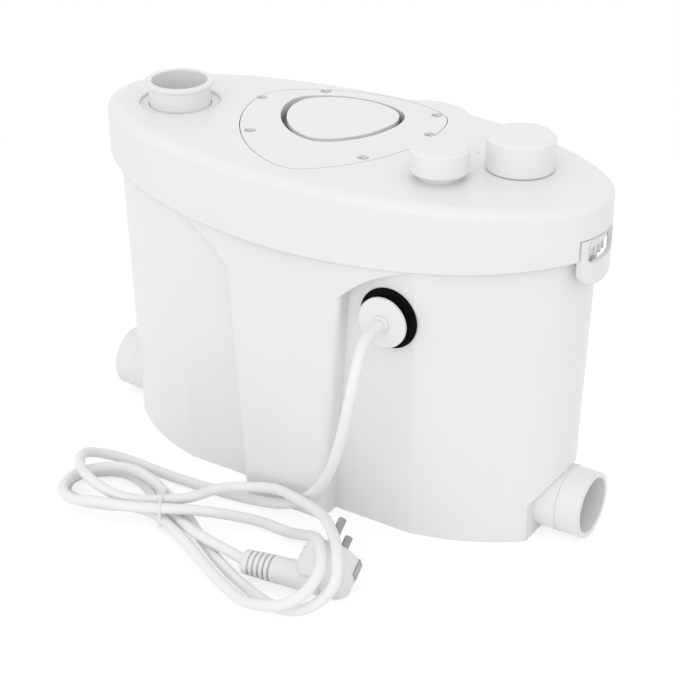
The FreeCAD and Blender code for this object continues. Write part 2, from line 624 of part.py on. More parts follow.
def pipe_form(name, radius, reach):
    elbow = doc.addObject("Part::Torus", name + "_bend")
    drive(elbow, Radius1=bend, Radius2=radius)
    elbow.Angle3 = 90
    elbow.Placement = FreeCAD.Placement(Vec(0, 0, 0), FreeCAD.Rotation(Vec(1, 0, 0), 90)
                                        * FreeCAD.Rotation(Vec(0, 0, 1), 180))
    place(elbow, (outlet_x + bend, outlet_y, pipe_level + bend))
    return fused(name, elbow,
                 rod(name + "_run", radius, stub_start + 8 - outlet_x - bend + reach,
                     (outlet_x + bend, outlet_y, pipe_level), "x"),
                 rod(name + "_rise", radius, 124 - pipe_level - bend + reach,
                     (outlet_x, outlet_y, pipe_level + bend)))


hand_in("discharge_pipe", cut("discharge_pipe", pipe_form("pipe_out", pipe_radius, 0),
                              pipe_form("pipe_in", pipe_bore, 1)))
outlet = (outlet_x, outlet_y, 0)
hand_in("valve_body", turned("valve_body", [
    (pipe_radius, 118), (17.6, 118), (17.6, 156), (pipe_radius, 156), (pipe_radius, 150),
    (15, 147), (15, 127), (pipe_bore, 127), (pipe_bore, 124), (pipe_radius, 124)], outlet))
leaf = rod("leaf_disc", 12.9, 1.6, (outlet_x, outlet_y, 127.5))
leaf_hinge = rod("leaf_hinge", 1.1, 8, (outlet_x + 12.6, outlet_y - 4, 128.6), "y")
hand_in("valve_flap", fused("valve_flap", leaf, leaf_hinge))
hand_in("riser_pipe", ring("riser_pipe", pipe_radius, pipe_bore, 32, (outlet_x, outlet_y, 150)))
hand_in("discharge_sleeve", turned("discharge_sleeve", [
    (pipe_radius, 174), (19, 174), (19, 204), (15.4, 204), (15.4, 184), (pipe_radius, 182)], outlet))

# Connection box over the motor with capacitor, terminals, level switch and its dip tube.
box_x, box_y = (-66, 82), (-34, 34)
tray = block("tray", box_x, box_y, (box_base, box_top))
tray_cuts = [block("tray_inside", (-64, 80), (-32, 32), (box_base + 2, box_top + 2)),
             rod("dip_hole", 12, 10, (dip_x, dip_y, box_base - 2))]
hand_in("connection_box", cut("connection_box", tray, *tray_cuts))
hand_in("connection_box_cover", block("connection_box_cover", box_x, box_y, (box_top, box_top + 2)))
hand_in("capacitor", turned("capacitor", [
    (0, 0), (14, 0), (15, 1), (15, 57), (14, 58), (4, 58), (4, 60), (0, 60)],
    (-58, -14, box_base + 17.5), "x"))
terminal = block("terminal", (10, 36), (-28, -12), (box_base + 2, box_base + 16))
hand_in("terminal_block", cut("terminal_block", terminal, *[
    rod("terminal_hole", 2, 8, (15 + 8 * k, -20, box_base + 10)) for k in range(3)]))
hand_in("pressure_tube", turned("pressure_tube", [
    (10, 20), (12, 20), (12, box_base), (10, box_base)], (dip_x, dip_y, 0)))
hand_in("pressure_switch", turned("pressure_switch", [
    (0, box_base + 4), (10, box_base + 4), (10, box_base + 2), (17, box_base + 2),
    (17, box_base + 10), (9, box_base + 12), (9, box_base + 22), (2.5, box_base + 22),
    (2.5, box_base + 14), (0, box_base + 14)], (dip_x, dip_y, 0)))
hand_in("switch_plunger", turned("switch_plunger", [
    (0, box_base + 17), (2.45, box_base + 17), (2.45, box_base + 27), (2, box_base + 28),
    (0, box_base + 28)], (dip_x, dip_y, 0)))

# Side inlet flaps, hung inside behind the spigots.
for name, side in (("inlet_flap_right", 1), ("inlet_flap_left", -1)):
    x_near, x_far = sorted((136.4 * side, 138.5 * side))
    disc = rod(name + "_disc", 16.6, 2.1, (136.4 * side, 0, spigot_level), "x" if side > 0 else "-x")
    tab = block(name + "_tab", (x_near, x_far), (-5, 5), (32, 41.6))
    barrel = rod(name + "_barrel", 2.6, 15, (137.5 * side, -7.5, 41.6), "y")
    pin = rod(name + "_pin", 1.5, 21.6, (137.5 * side, -10.8, 41.6), "y")
    hand_in(name, fused(name, disc, tab, barrel, pin))

# Supply cord: straight runs joined by tangent arcs through these points, from the gland down
# to the floor, into the tied loops and out to the plug.
DOWN = [
    (66.5, -71.5, 142), (66.5, -90, 142), (65, -103, 129), (60.5, -105, 104), (56.5, -105, 78),
    (47, -100, 51), (30, -86, 27), (10, -77.5, 9), (-16, -78.5, 3.5), (-46, -82, 3.5)]
LOOPS = [
    # Along the floor and round the first left loop, on top.
    (-76, -88, 3.5), (-100, -92, 6.5), (-121.5, -96, 12), (-132, -111.5, 16.5),
    (-128, -129.5, 19), (-113, -140, 19), (-91, -137, 17), (-73, -127, 13.5),
    # Through the tie, past the bulge and up over the plug.
    (-56, -117.5, 11.5), (-42, -105, 11), (-25, -89, 11), (-3, -83.5, 12.5), (20, -88, 14.5),
    (40.5, -99, 19.5), (64, -122, 34), (80.5, -137.5, 47),
    # Round the outer right loop and back to the tie underneath.
    (90, -148.5, 45.5), (99.5, -166.5, 34), (96.5, -177, 20), (84, -182.5, 9), (66, -176.5, 4),
    (45.5, -163, 4.5), (21.5, -153.5, 3.5), (-5.5, -138.5, 3.5), (-21.5, -125.5, 3.5),
    (-37.5, -118, 4.5),
    # Second left loop.
    (-59.5, -110, 4.5), (-74.5, -103.5, 11), (-96, -100, 12.5), (-115.5, -104, 11.5),
    (-126.5, -119, 10.5), (-123.5, -137.5, 11), (-107.5, -148.5, 12), (-87, -144.5, 11),
    (-72, -134.5, 11.5),
    # Through the tie again and up over the plug inside the first loop.
    (-54, -125, 11.5), (-33, -118, 11.5), (-12, -107, 8), (8, -101.5, 3.5), (29, -104, 9),
    (44.5, -111, 19.5), (61.5, -131.5, 39), (76.5, -156.5, 46),
    # Round the inner right loop and back to the tie underneath.
    (85, -172, 30), (81, -182.5, 17), (66.5, -186.5, 7), (46.5, -179, 5), (28, -165.5, 5),
    (8, -155.5, 3.5), (-12, -146, 3.5), (-27.5, -138, 3.5),
    # Third left loop on the floor, hidden under the second, and out of the tie.
    (-43, -131, 4.5), (-62, -133.5, 4), (-79, -151.5, 3.5), (-102.5, -147, 3.5),
    (-113.5, -131, 4), (-109, -112, 3.5), (-91.5, -102.5, 4), (-72, -110, 3.5),
    (-58, -121.5, 4), (-40.5, -125, 5), (-24, -131, 11)]
TAIL = [(10, -140, 9.5), (24.5, -144, 10.5)]
slack = 0.45


def route_edges(corners):
    points = [Vec(*corner) for corner in corners]
    edges, start, radii = [], points[0], []
    for before, corner, after in zip(points, points[1:], points[2:]):
        inward, outward = corner - before, after - corner
        turn = inward.getAngle(outward)
        reach = slack * min(inward.Length, outward.Length)
        inward.normalize()
        outward.normalize()
        radius = reach / math.tan(turn / 2)
        radii.append(radius)
        leave, meet = corner - inward * reach, corner + outward * reach
        inside = (outward - inward).normalize()
        middle = corner + inside * (radius / math.cos(turn / 2) - radius)
        edges.append(Part.LineSegment(start, leave).toShape())
        edges.append(Part.Arc(leave, middle, meet).toShape())
        start = meet
    edges.append(Part.LineSegment(start, points[-1]).toShape())
    return edges, radii


def self_gap(edges, radius):
    # Least clear distance between stretches of one tube that lie apart along it.
    points, along, travelled = [], [], 0
    for edge in edges:
        count = max(int(edge.Length / 1.5), 1)
        for step in range(count):
            points.append(edge.valueAt(edge.FirstParameter + (
                edge.LastParameter - edge.FirstParameter) * step / count))
            along.append(travelled + edge.Length * step / count)
        travelled += edge.Length
    least = 1e9
    for first, spot in enumerate(points):
        for second in range(first + 20, len(points)):
            if along[second] - along[first] > 30:
                least = min(least, spot.distanceToPoint(points[second]))
    return least - 2 * radius


cord_lengths = {}


def cord(name, corners):
    edges, radii = route_edges(corners)
    path = doc.addObject("Part::Feature", name + "_path")
    path.Shape = Part.Wire(edges)
    heading = Vec(*corners[1]) - Vec(*corners[0])
    section = doc.addObject("Part::Circle", name + "_section")
    drive(section, Radius=cord_radius)
    section.Placement = FreeCAD.Placement(Vec(*corners[0]), FreeCAD.Rotation(Vec(0, 0, 1), heading))
    tube = doc.addObject("Part::Sweep", name)
    tube.Sections = [section]
    tube.Spine = (path, ["Edge%d" % (index + 1) for index in range(len(edges))])
    tube.Solid = True
    tube.Frenet = False
    length = sum(edge.Length for edge in edges)
    cord_lengths[name] = length
    print("%s: length %.0f, smallest radius %.1f, self gap %.2f" % (
        name, length, min(radii), self_gap(edges, cord_radius.value)))
    return hand_in(name, tube)


hand_over = [(a + b) / 2 for a, b in zip(DOWN[-1], LOOPS[0])]
let_go = [(a + b) / 2 for a, b in zip(LOOPS[-1], TAIL[0])]
cord("power_cord", DOWN + [hand_over])
cord("cord_hank", [hand_over] + LOOPS + [let_go])
cord("cord_tail", [let_go] + TAIL)
strap_out = [(-137.2, 4, 4), (-133.2, 0), (-111.6, 0, 4), (-107.6, 4), (-107.6, 6.2),
             (-111.3, 14.6, 1.8), (-112.9, 16.2), (-129, 16.2, 1.8), (-130.2, 15.3), (-137.2, 6.8)]
strap_in = [(-136.4, 4, 3.2), (-133.2, 0.8), (-111.6, 0.8, 3.2), (-108.4, 4), (-108.4, 6),
            (-112, 14.4, 1), (-112.9, 15.4), (-129, 15.4, 1), (-129.6, 14.9), (-136.4, 6.5)]
hand_in("cord_tie", cut("cord_tie", fused("strap", prism("strap_out", "yz", strap_out, -56.2, -53),
                                          block("strap_head", (-57, -52.2), (-123, -118), (15.4, 18.4))),
                        prism("strap_in", "yz", strap_in, -58, -51), pieces["cord_hank"]))

# Angled plug, laid out along X from the cord's end with the pins along Y. Its two sides taper
# to the back, and it is set down on one of them, so that the pins point up a little.
head_x = measure("plug_head_x", 47.1)
head_radius = measure("plug_head_radius", 16.9)
face_y = measure("plug_face_y", 16.8)
pin_spacing = measure("pin_spacing", 19)
grip = [(0, -1.5), (6.2, -1.5), (7.2, -0.5), (7.2, 3)]
# The cord comes in at a slight angle, into a mouth that its end fills.
mouth = rod("cord_mouth", cord_radius + 0.02, 12, (0, 0, 0))
mouth.Placement = FreeCAD.Placement(Vec(0, 0, 0), FreeCAD.Rotation(Vec(0, 0, 1), Vec(-0.918, 0.336, -0.211)))
for groove in range(5):
    x = 3 + 3.3 * groove
    grip += [(5.9, x), (5.9, x + 1.3), (7.4 + 0.12 * groove, x + 1.3), (7.4 + 0.12 * groove, x + 3.3)]
grip += [(7.9, 24), (8.4, 38), (8.4, 46), (0, 46)]
head = turned("plug_head", [(0, -4), (13, -4), (head_radius, 0), (head_radius, face_y), (0, face_y)],
              (head_x, 0, 0), "y")
tapers = [prism("taper", "yz", outline, 18, 80) for outline in (
    [(-6, -9.3), (-6, -20), (12, -20), (12, -17.6)], [(-6, 9.3), (12, 17.6), (12, 20), (-6, 20)])]
clips, clip_seats = [], []
for side in (-1, 1):
    near, far = sorted((16 * side, 17.3 * side))
    for group, spare in ((clips, 0), (clip_seats, 0.02)):
        group.append(block("clip", (head_x + near - spare, head_x + far + spare),
                           (7, face_y + 0.6 + spare), (-3.2 - spare, 3.2 + spare)))
plug_parts = [
    ("plug_body", cut("plug_body", fused("plug_form", turned("grip", grip, (0, 0, 0), "x"), head),
                      *tapers, *clip_seats, mouth)),
    ("plug_pins", fused("plug_pins", *[rod("pin", 2.4, 19, (head_x, face_y, pin_spacing * side / 2), "y")
                                       for side in (-1, 1)])),
    ("plug_earth_contacts", fused("plug_earth_contacts", *clips))]
cord_end = Vec(*TAIL[-1])
along = Vec(0.991, 0.136, 0.017).normalize()
up_pins = Vec(-0.13, 0.9, 0.418)
up_pins = (up_pins - along * up_pins.dot(along)).normalize()
frame = FreeCAD.Rotation(along, up_pins, along.cross(up_pins), "XYZ")
for name, thing in plug_parts:
    thing.Placement = FreeCAD.Placement(cord_end, frame)
    hand_in(name, thing)

doc.recompute()
for thing in doc.Objects:
    if {"Invalid", "Error"} & set(thing.State):
        raise SystemExit("not sound: " + thing.Name + " " + str(thing.State))
for name, thing in pieces.items():
    shape = thing.Shape
    if shape.isNull() or not shape.isValid() or not shape.Solids:
        raise SystemExit("no sound solid in " + name)
    shape.exportStep("parts/" + name + ".step")
    box = shape.BoundBox
    print("%-22s %7.1f cm3 solids %d  x %.1f..%.1f y %.1f..%.1f z %.1f..%.1f" % (
        name, shape.Volume / 1000, len(shape.Solids), box.XMin, box.XMax, box.YMin, box.YMax,
        box.ZMin, box.ZMax))
print(len(pieces), "pieces")
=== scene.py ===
import bpy
import bmesh
import math
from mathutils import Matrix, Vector


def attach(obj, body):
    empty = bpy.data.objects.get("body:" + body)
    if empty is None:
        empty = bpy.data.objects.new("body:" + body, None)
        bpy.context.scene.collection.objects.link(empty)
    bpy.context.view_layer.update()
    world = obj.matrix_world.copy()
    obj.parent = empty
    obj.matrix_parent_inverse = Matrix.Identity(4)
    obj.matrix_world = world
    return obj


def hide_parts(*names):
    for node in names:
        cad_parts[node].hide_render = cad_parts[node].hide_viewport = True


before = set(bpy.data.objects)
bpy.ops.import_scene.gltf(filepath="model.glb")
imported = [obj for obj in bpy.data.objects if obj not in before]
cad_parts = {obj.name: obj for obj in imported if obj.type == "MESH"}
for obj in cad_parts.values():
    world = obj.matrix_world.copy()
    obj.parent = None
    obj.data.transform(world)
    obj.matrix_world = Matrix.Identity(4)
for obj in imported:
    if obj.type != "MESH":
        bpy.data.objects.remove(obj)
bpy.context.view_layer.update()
print("frame loaded:", len(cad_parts), "nodes")

# Camera: the photograph looks down on the right half of the front.
photoCamera = {
    "place": (0.50941, -0.80403, 0.59091),
    "target": (-0.00416, -0.00102, 0.08048),
    "lens": 92.715,
    "sensor": 36,
    "farthest": 60,
}
cameraData = bpy.data.cameras.new("photoCamera")
cameraData.lens = photoCamera["lens"]
cameraData.sensor_width = photoCamera["sensor"]
cameraData.clip_end = photoCamera["farthest"]
cameraObject = bpy.data.objects.new("photoCamera", cameraData)
bpy.context.scene.collection.objects.link(cameraObject)
sight = Vector(photoCamera["target"]) - Vector(photoCamera["place"])
cameraObject.location = photoCamera["place"]
cameraObject.rotation_euler = sight.to_track_quat("-Z", "Y").to_euler()
bpy.context.scene.camera = cameraObject

# Supply cord: out of the gland, down to the floor and through its tied loops to the plug. Its line
# is the solid cord's, moved by up to 13 mm to lie nearer to the photographed one.
supplyCord = {
    "diameter": 0.0064,
    "length": 1.568,
    "roundness": 6,
    "exit": (0.0665, -0.0715, 0.142),
    "route": [
        (0.0665, -0.0715, 0.142), (0.0665, -0.086, 0.141), (0.0695, -0.0985, 0.132),
        (0.068, -0.105, 0.108), (0.0615, -0.104, 0.08), (0.0515, -0.099, 0.0545),
        (0.033, -0.0865, 0.0285), (0.0105, -0.0775, 0.0065),
        # Along the floor and round the first left loop, on top.
        (-0.014, -0.0815, 0.0035), (-0.04, -0.085, 0.0035), (-0.0725, -0.0875, 0.0035),
        (-0.1035, -0.086, 0.0035), (-0.12, -0.092, 0.007), (-0.127, -0.108, 0.015),
        (-0.11, -0.13, 0.02), (-0.088, -0.1395, 0.0205), (-0.0745, -0.137, 0.016),
        # Through the tie, past the bulge and up over the plug.
        (-0.062, -0.1295, 0.013), (-0.0505, -0.1225, 0.014), (-0.038, -0.114, 0.0145),
        (-0.0305, -0.096, 0.015), (-0.015, -0.087, 0.016), (0.001, -0.0805, 0.0175),
        (0.019, -0.087, 0.0205), (0.052, -0.1075, 0.033), (0.075, -0.132, 0.042),
        (0.0895, -0.1495, 0.045), (0.0965, -0.1625, 0.033),
        # Round the outer right loop and back to the tie underneath.
        (0.0885, -0.1715, 0.022), (0.0765, -0.175, 0.016), (0.0585, -0.1685, 0.0085),
        (0.041, -0.161, 0.005), (0.0205, -0.152, 0.0035), (-0.002, -0.1415, 0.0045),
        (-0.0225, -0.128, 0.0035), (-0.0385, -0.1165, 0.0035), (-0.0605, -0.1085, 0.007),
        (-0.0755, -0.1055, 0.0125),
        # Second left loop.
        (-0.094, -0.104, 0.0125), (-0.1095, -0.111, 0.011), (-0.119, -0.1255, 0.0105),
        (-0.1145, -0.143, 0.0115), (-0.1, -0.151, 0.012), (-0.0805, -0.148, 0.0165),
        (-0.066, -0.14, 0.0135),
        # Through the tie again and up over the plug inside the first loop.
        (-0.0465, -0.132, 0.0145), (-0.0295, -0.121, 0.0135), (-0.0125, -0.111, 0.0105),
        (0.002, -0.099, 0.0045), (0.021, -0.099, 0.0035), (0.036, -0.1025, 0.0085),
        (0.055, -0.1195, 0.025), (0.074, -0.1435, 0.0415), (0.086, -0.1585, 0.041),
        (0.0875, -0.174, 0.034),
        # Round the inner right loop and back to the tie underneath.
        (0.077, -0.183, 0.025), (0.065, -0.1845, 0.0215), (0.045, -0.177, 0.011),
        (0.0245, -0.1655, 0.0065), (0.005, -0.1555, 0.005), (-0.0115, -0.147, 0.007),
        (-0.035, -0.1355, 0.006), (-0.0525, -0.1275, 0.0055),
        # Third left loop on the floor, half hidden under the second, and out of the tie.
        (-0.069, -0.1285, 0.006), (-0.083, -0.1405, 0.0085), (-0.101, -0.143, 0.007),
        (-0.1185, -0.136, 0.0035), (-0.124, -0.1215, 0.0045), (-0.1165, -0.108, 0.0035),
        (-0.101, -0.099, 0.004), (-0.0785, -0.1035, 0.0035), (-0.0625, -0.1165, 0.0035),
        (-0.0385, -0.125, 0.0045), (-0.0115, -0.1405, 0.013), (0.01, -0.14, 0.0095),
        (0.0245, -0.144, 0.0105),
    ],
}


def cordCurve(name, points, radius, roundness):
    curve = bpy.data.curves.new(name, "CURVE")
    curve.dimensions = "3D"
    spline = curve.splines.new("NURBS")
    spline.points.add(len(points) - 1)
    for controlPoint, place in zip(spline.points, points):
        controlPoint.co = (*place, 1)
        controlPoint.radius = radius
    spline.order_u = 3
    spline.use_endpoint_u = True
    spline.resolution_u = 8
    curve.bevel_depth = 1  # each point's own radius is the real one
    curve.bevel_resolution = roundness
    curve.use_fill_caps = True
    piece = bpy.data.objects.new(name, curve)
    bpy.context.scene.collection.objects.link(piece)
    return piece


# Thin tie round the five strands of the hank. Its centres, sideways from the foot and above the
# floor, are within 1.2 mm of where the strands cross its plane.
cordTie = {
    "foot": (-0.0515, -0.124, 0),
    "along": (0.8713, 0.4907, 0),
    "centres": [(-0.0077, 0.0057), (0.0057, 0.0038), (0.0166, 0.0071), (0.0008, 0.0139),
                (-0.0089, 0.0142)],
    "round": 0.00325,
    "thick": 0.0004,
    "width": 0.0019,
    "knot": 0.0011,
    "knotAngle": 3.9,
    "knotSpread": 0.3,
    "knotWider": 0.5,
    "turnStep": 0.1,
    "sides": 12,
    "squareness": 0.6,
}


def squarish(value, power):  # a sine or cosine pulled towards the corners
    return math.copysign(abs(value) ** power, value)


def tieStrap(name, spec):
    run = Vector(spec["along"]).normalized()
    side = Vector((-run.y, run.x, 0))
    centres = [Vector(place) for place in spec["centres"]]
    outline = []
    for last, here, after in zip(centres[-1:] + centres, centres, centres[1:] + centres[:1]):
        first = math.atan2(last.x - here.x, here.y - last.y)
        turn = (math.atan2(here.x - after.x, after.y - here.y) - first) % (2 * math.pi)
        steps = max(3, round(turn / spec["turnStep"]))
        outline += [(here, first + turn * step / steps) for step in range(steps + 1)]
    shell = bmesh.new()
    rings = []
    for here, angle in outline:
        swell = 0
        if here == centres[0]:  # the knot sits on the first strand
            away = (angle - spec["knotAngle"] + math.pi) % (2 * math.pi) - math.pi
            swell = math.exp(-(away / spec["knotSpread"]) ** 2)
        width = spec["width"] * (1 + spec["knotWider"] * swell)
        thick = spec["thick"] + spec["knot"] * swell
        ring = []
        for step in range(spec["sides"]):
            turned = 2 * math.pi * step / spec["sides"]
            across = squarish(math.cos(turned), spec["squareness"]) * width / 2
            out = (1 + squarish(math.sin(turned), spec["squareness"])) * thick / 2
            flat = here + Vector((math.cos(angle), math.sin(angle))) * (spec["round"] + out)
            ring.append(shell.verts.new(Vector(spec["foot"]) + side * flat.x + run * across
                                        + Vector((0, 0, flat.y))))
        rings.append(ring)
    for ring, following in zip(rings, rings[1:] + rings[:1]):
        for step in range(spec["sides"]):
            later = (step + 1) % spec["sides"]
            face = shell.faces.new((ring[step], ring[later], following[later], following[step]))
            face.smooth = True
    bmesh.ops.recalc_face_normals(shell, faces=shell.faces)
    mesh = bpy.data.meshes.new(name)
    shell.to_mesh(mesh)
    shell.free()
    piece = bpy.data.objects.new(name, mesh)
    bpy.context.scene.collection.objects.link(piece)
    return piece


tiePiece = tieStrap("hankTie", cordTie)
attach(tiePiece, "base")
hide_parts("cord_tie")
cordPiece = cordCurve("supplyCord", supplyCord["route"], supplyCord["diameter"] / 2,
                      supplyCord["roundness"])
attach(cordPiece, "base")
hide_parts("power_cord", "cord_hank", "cord_tail")
print("cord laid:", len(supplyCord["route"]), "points")


class Wire:  # one socket of a material, which can be added, multiplied and so on
    def __init__(self, tree, socket=None):
        self.tree = tree
        self.socket = socket

    def add(self, kind, settings=None, values=None, out=0):
        node = self.tree.nodes.new("ShaderNode" + kind)
        for name, value in (settings or {}).items():
            setattr(node, name, value)
        for name, value in (values or {}).items():
            if isinstance(value, Wire):
                self.tree.links.new(value.socket, node.inputs[name])
            else:
                node.inputs[name].default_value = value
        return Wire(self.tree, node.outputs[out])

    def pair(self, operation, other, swap=False):
        first, second = (other, self) if swap else (self, other)
        if self.socket.type == "VECTOR":
            first, second = [(value,) * 3 if isinstance(value, (int, float)) else value
                             for value in (first, second)]
            return self.add("VectorMath", {"operation": operation}, {0: first, 1: second})
        return self.add("Math", {"operation": operation}, {0: first, 1: second})

    def __add__(self, other):
        return self.pair("ADD", other)

    def __radd__(self, other):
        return self.pair("ADD", other, True)

    def __sub__(self, other):
        return self.pair("SUBTRACT", other)

    def __rsub__(self, other):
        return self.pair("SUBTRACT", other, True)

    def __mul__(self, other):
        return self.pair("MULTIPLY", other)

    def __rmul__(self, other):
        return self.pair("MULTIPLY", other, True)

    def tint(self, low, high):  # this value as the share of the second colour
        low, high = [colour if isinstance(colour, Wire) else (*colour, 1) for colour in (low, high)]
        return self.add("Mix", {"data_type": "RGBA"}, {0: self, 6: low, 7: high}, 2)

    def noise(self, scale, detail, roughness):
        return self.add("TexNoise", None, {
            "Vector": self, "Scale": scale, "Detail": detail, "Roughness": roughness})

    def between(self, low, high):  # 0 below low and 1 above high
        return self.add("MapRange", None, {"Value": self, "From Min": low, "From Max": high})

    def bump(self, edge=None):  # this value as a height in metres
        values = {"Strength": 1.0, "Distance": 1.0, "Height": self}
        if edge:
            values["Normal"] = edge
        return self.add("Bump", None, values)


def newMaterial(name):
    material = bpy.data.materials.new(name)
    material.use_nodes = True
    material.node_tree.nodes.clear()
    start = Wire(material.node_tree)
    place = start.add("TexCoord", None, None, 3)
    return material, start, place


def output(wire):
    last = wire.tree.nodes.new("ShaderNodeOutputMaterial")
    wire.tree.links.new(wire.socket, last.inputs["Surface"])


def darker(colour, share):
    return [part * share for part in colour]


# Moulded plastic: faint clouds in its colour and gloss, fine orange peel, slow waves where the
# wall shrank, and a soft edge where two faces meet. A finish changes only what it names.
plasticLook = {
    "cloudScale": 9,
    "dark": 0.975,  # share of the colour that the darker clouds keep
    "fleckScale": 520,
    "fleckDark": 0.985,
    "fleckShare": 0.35,
    "wearScale": 34,
    "wear": 0.1,  # how far handling moves the roughness
    "edge": 0.0006,
    "peelScale": 1500,
    "peel": 0.000006,
    "waveScale": 22,
    "waves": 0.00008,
}


def mouldedPlastic(name, changes):
    look = {**plasticLook, **changes}
    material, start, place = newMaterial(name)
    colour = look["colour"]
    clouds = place.noise(look["cloudScale"], 4, 0.55).between(0.35, 0.68)
    flecks = place.noise(look["fleckScale"], 2, 0.6).between(0.42, 0.62)
    body = clouds.tint(darker(colour, look["dark"]), colour)
    specks = flecks.tint(darker(colour, look["fleckDark"]), colour)
    mixed = start.add("Mix", {"data_type": "RGBA", "blend_type": "MULTIPLY"},
                      {0: look["fleckShare"], 6: body, 7: specks}, 2)
    handling = place.noise(look["wearScale"], 5, 0.62)
    gloss = look["roughness"] + (handling - 0.5) * look["wear"]
    edge = start.add("Bevel", {"samples": 4}, {"Radius": look["edge"]})
    peel = place.noise(look["peelScale"], 2, 0.5)
    waves = place.noise(look["waveScale"], 1, 0.4)
    height = peel * look["peel"] + waves * look["waves"]
    output(start.add("BsdfPrincipled", None, {
        "Base Color": mixed, "Roughness": gloss, "Normal": height.bump(edge)}))
    return material


# Soft rubber: black or grey, matt, pitted like foam where it was cut.
rubberLook = {
    "dusty": 2.2,  # how much lighter the dust is
    "dust": 0.004,
    "roughness": 0.72,
    "dustyRoughness": 0.15,
    "ior": 1.5,
    "smallPits": 0.6,
}


def softRubber(name, changes):
    look = {**rubberLook, **changes}
    material, start, place = newMaterial(name)
    colour = look["colour"]
    cells = start.add("TexVoronoi", {"feature": "F1"}, {"Vector": place, "Scale": look["cells"]})
    dust = place.noise(look["cells"] * 0.7, 4, 0.65).between(0.4, 0.75)
    body = dust.tint(colour, [part * look["dusty"] + look["dust"] for part in colour])
    pits = place.noise(look["cells"] * 2.2, 3, 0.6)
    height = cells * look["depth"] + pits * (look["depth"] * look["smallPits"])
    output(start.add("BsdfPrincipled", None, {
        "Base Color": body, "Roughness": dust * look["dustyRoughness"] + look["roughness"],
        "IOR": look["ior"], "Normal": height.bump()}))
    return material


# Bare or plated metal, with drawn scratches along one direction.
metalLook = {
    "grain": (1, 1, 12),
    "grainScale": 700,
    "scratch": 0.000004,
    "stainScale": 60,
    "dark": 0.85,
    "spread": 0.15,
}


def bareMetal(name, changes):
    look = {**metalLook, **changes}
    material, start, place = newMaterial(name)
    stretch = start.add("Mapping", None, {"Vector": place, "Scale": look["grain"]})
    lines = stretch.noise(look["grainScale"], 4, 0.6)
    stains = place.noise(look["stainScale"], 4, 0.6).between(0.3, 0.75)
    body = stains.tint(look["colour"], darker(look["colour"], look["dark"]))
    gloss = lines * look["spread"] + look["roughness"]
    output(start.add("BsdfPrincipled", None, {
        "Base Color": body, "Metallic": 1.0, "Roughness": gloss,
        "Normal": (lines * look["scratch"]).bump()}))
    return material


# Stacked sheet iron: thin dark lines between the sheets, and oil stains.
def sheetStack(name, look):
    material, start, place = newMaterial(name)
    height = start.add("SeparateXYZ", None, {"Vector": place}, 2)
    sheets = (height * (1 / look["sheet"])).pair("FRACT", 0.0)
    gap = sheets.between(0.0, look["gapShare"])
    stains = place.noise(look["stainScale"], 4, 0.6).between(0.35, 0.7)
    body = stains.tint(look["colour"], darker(look["colour"], look["stained"]))
    shade = gap.tint(darker(look["colour"], look["gapDark"]), body)
    output(start.add("BsdfPrincipled", None, {
        "Base Color": shade, "Metallic": 0.9, "Roughness": stains * 0.2 + look["roughness"],
        "Normal": (gap * look["gapDepth"]).bump()}))
    return material


shellWhite = (0.86, 0.86, 0.868)
finishLooks = {
    mouldedPlastic: {
        "whiteShell": {"colour": shellWhite, "roughness": 0.3, "edge": 0.0008},
        "whiteCover": {"colour": shellWhite, "roughness": 0.27, "edge": 0.0005, "waves": 0.00004},
        "whiteCap": {"colour": shellWhite, "roughness": 0.36, "edge": 0.0007, "waves": 0.00003,
                     "peel": 0.000009},
        "whiteInsert": {"colour": shellWhite, "roughness": 0.34, "edge": 0.0005,
                        "waves": 0.00003},
        "plugPlastic": {"colour": (0.83, 0.835, 0.84), "roughness": 0.42, "edge": 0.0004,
                        "waves": 0.00002, "peel": 0.000012, "peelScale": 2400,
                        "cloudScale": 40},
        "tieNylon": {"colour": (0.86, 0.865, 0.86), "roughness": 0.38, "edge": 0.0002,
                     "waves": 0.00001},
        "cordSheath": {"colour": (0.885, 0.885, 0.892), "roughness": 0.4, "edge": 0.0001,
                       "waves": 0.00005, "peel": 0.00001, "peelScale": 1900, "cloudScale": 60},
        "pipePlastic": {"colour": (0.52, 0.53, 0.54), "roughness": 0.4},
        "pumpPlastic": {"colour": (0.03, 0.03, 0.033), "roughness": 0.45, "dark": 0.8},
        "boxPlastic": {"colour": (0.2, 0.21, 0.22), "roughness": 0.45},
        "terminalPlastic": {"colour": (0.62, 0.6, 0.54), "roughness": 0.5},
        "motorPaint": {"colour": (0.05, 0.09, 0.14), "roughness": 0.35, "dark": 0.85,
                       "peel": 0.00002, "peelScale": 900},
    },
    softRubber: {
        "blackSponge": {"colour": (0.004, 0.004, 0.004), "cells": 1500, "depth": 0.0003,
                        "dusty": 1.3, "ior": 1.15},
        "blackRubber": {"colour": (0.012, 0.012, 0.012), "cells": 2600, "depth": 0.00002,
                        "roughness": 0.55},
        "greyRubber": {"colour": (0.12, 0.12, 0.12), "cells": 2600, "depth": 0.00002,
                       "roughness": 0.6, "dusty": 1.3},
        "filterFoam": {"colour": (0.3, 0.3, 0.3), "cells": 700, "dusty": 1.3, "depth": 0.0006,
                       "roughness": 0.85},
    },
    bareMetal: {
        "steel": {"colour": (0.58, 0.58, 0.57), "roughness": 0.24},
        "screwSteel": {"colour": (0.8, 0.8, 0.79), "roughness": 0.42, "grain": (1, 1, 1)},
        "chrome": {"colour": (0.4, 0.38, 0.36), "roughness": 0.16, "spread": 0.1, "dark": 0.8},
        "capacitorCan": {"colour": (0.7, 0.71, 0.72), "roughness": 0.3},
    },
    sheetStack: {
        "stackedIron": {"colour": (0.3, 0.29, 0.28), "roughness": 0.35, "sheet": 0.0007,
                        "gapShare": 0.25, "gapDepth": 0.00008, "gapDark": 0.35,
                        "stainScale": 80, "stained": 0.7},
    },
}
